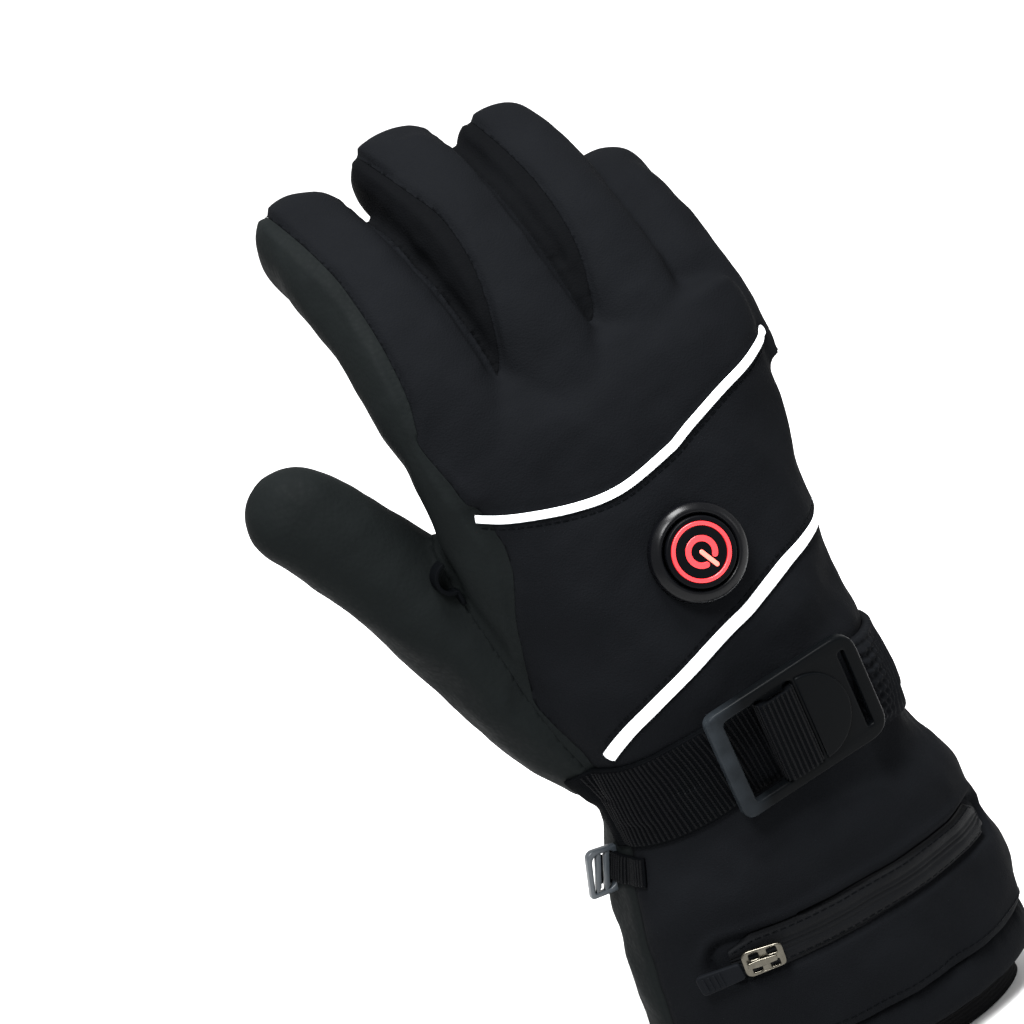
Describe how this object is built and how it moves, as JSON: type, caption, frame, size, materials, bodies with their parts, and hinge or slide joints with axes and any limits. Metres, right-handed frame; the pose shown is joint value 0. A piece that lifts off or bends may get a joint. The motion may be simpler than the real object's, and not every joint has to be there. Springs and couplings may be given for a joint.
{
  "type": "heated glove",
  "caption": "Padded gauntlet glove with a lit power button, reflective piping, a buckled wrist strap, a zip pocket and a gathered hem.",
  "frame": {"origin": "in the plane of the cuff's opening, where the hand goes in, under the middle of the wrist", "axes": "+Z from the cuff to the fingers, -Y out of the back of the hand, -X towards the thumb"},
  "size_m": [0.1611, 0.106, 0.2789],
  "materials": {
    "shell_fabric": "matt black softshell",
    "palm_leather": "fine-grained grey-black synthetic leather",
    "lining": "brushed black knit",
    "webbing": "ribbed black nylon webbing",
    "reflective_tape": "smooth bright white reflective piping",
    "buckle_plastic": "satin black moulded plastic",
    "bezel_plastic": "glossy black moulded ring",
    "cap_plastic": "satin black cap",
    "red_light": "lit red light guide",
    "zip_tape": "coated satin black tape",
    "slider_metal": "polished dark nickel",
    "pull_rubber": "matt black moulded rubber"
  },
  "bodies": {
    "glove": {"back_panel": "shell_fabric", "palm_panel": "palm_leather", "thumb_panel": "palm_leather", "gauntlet_back": "shell_fabric", "gauntlet_palm": "palm_leather", "cuff_hem": "shell_fabric", "inner_cuff": "lining", "piping_upper": "reflective_tape", "piping_lower": "reflective_tape", "wrist_strap": "webbing", "strap_turn": "webbing", "strap_buckle": "buckle_plastic", "elastic_casing": "shell_fabric", "button_bezel": "bezel_plastic", "zip_tape": "zip_tape", "zip_slider": "slider_metal", "zip_pull": "pull_rubber", "clip_tab": "webbing", "side_clip": "buckle_plastic", "palm_loop": "webbing"},
    "button": {"button_cap": "cap_plastic", "button_light_ring": "red_light", "button_sign_arc": "red_light", "button_sign_bar": "red_light"}
  },
  "joints": [
    {"name": "button_press", "type": "slide", "parent": "glove", "child": "button", "axis": [0.107, 0.9597, -0.2599], "range_m": [0, 0.0008], "stiffness_N_per_m": 1500, "springref_m": -0.0006}
  ]
}
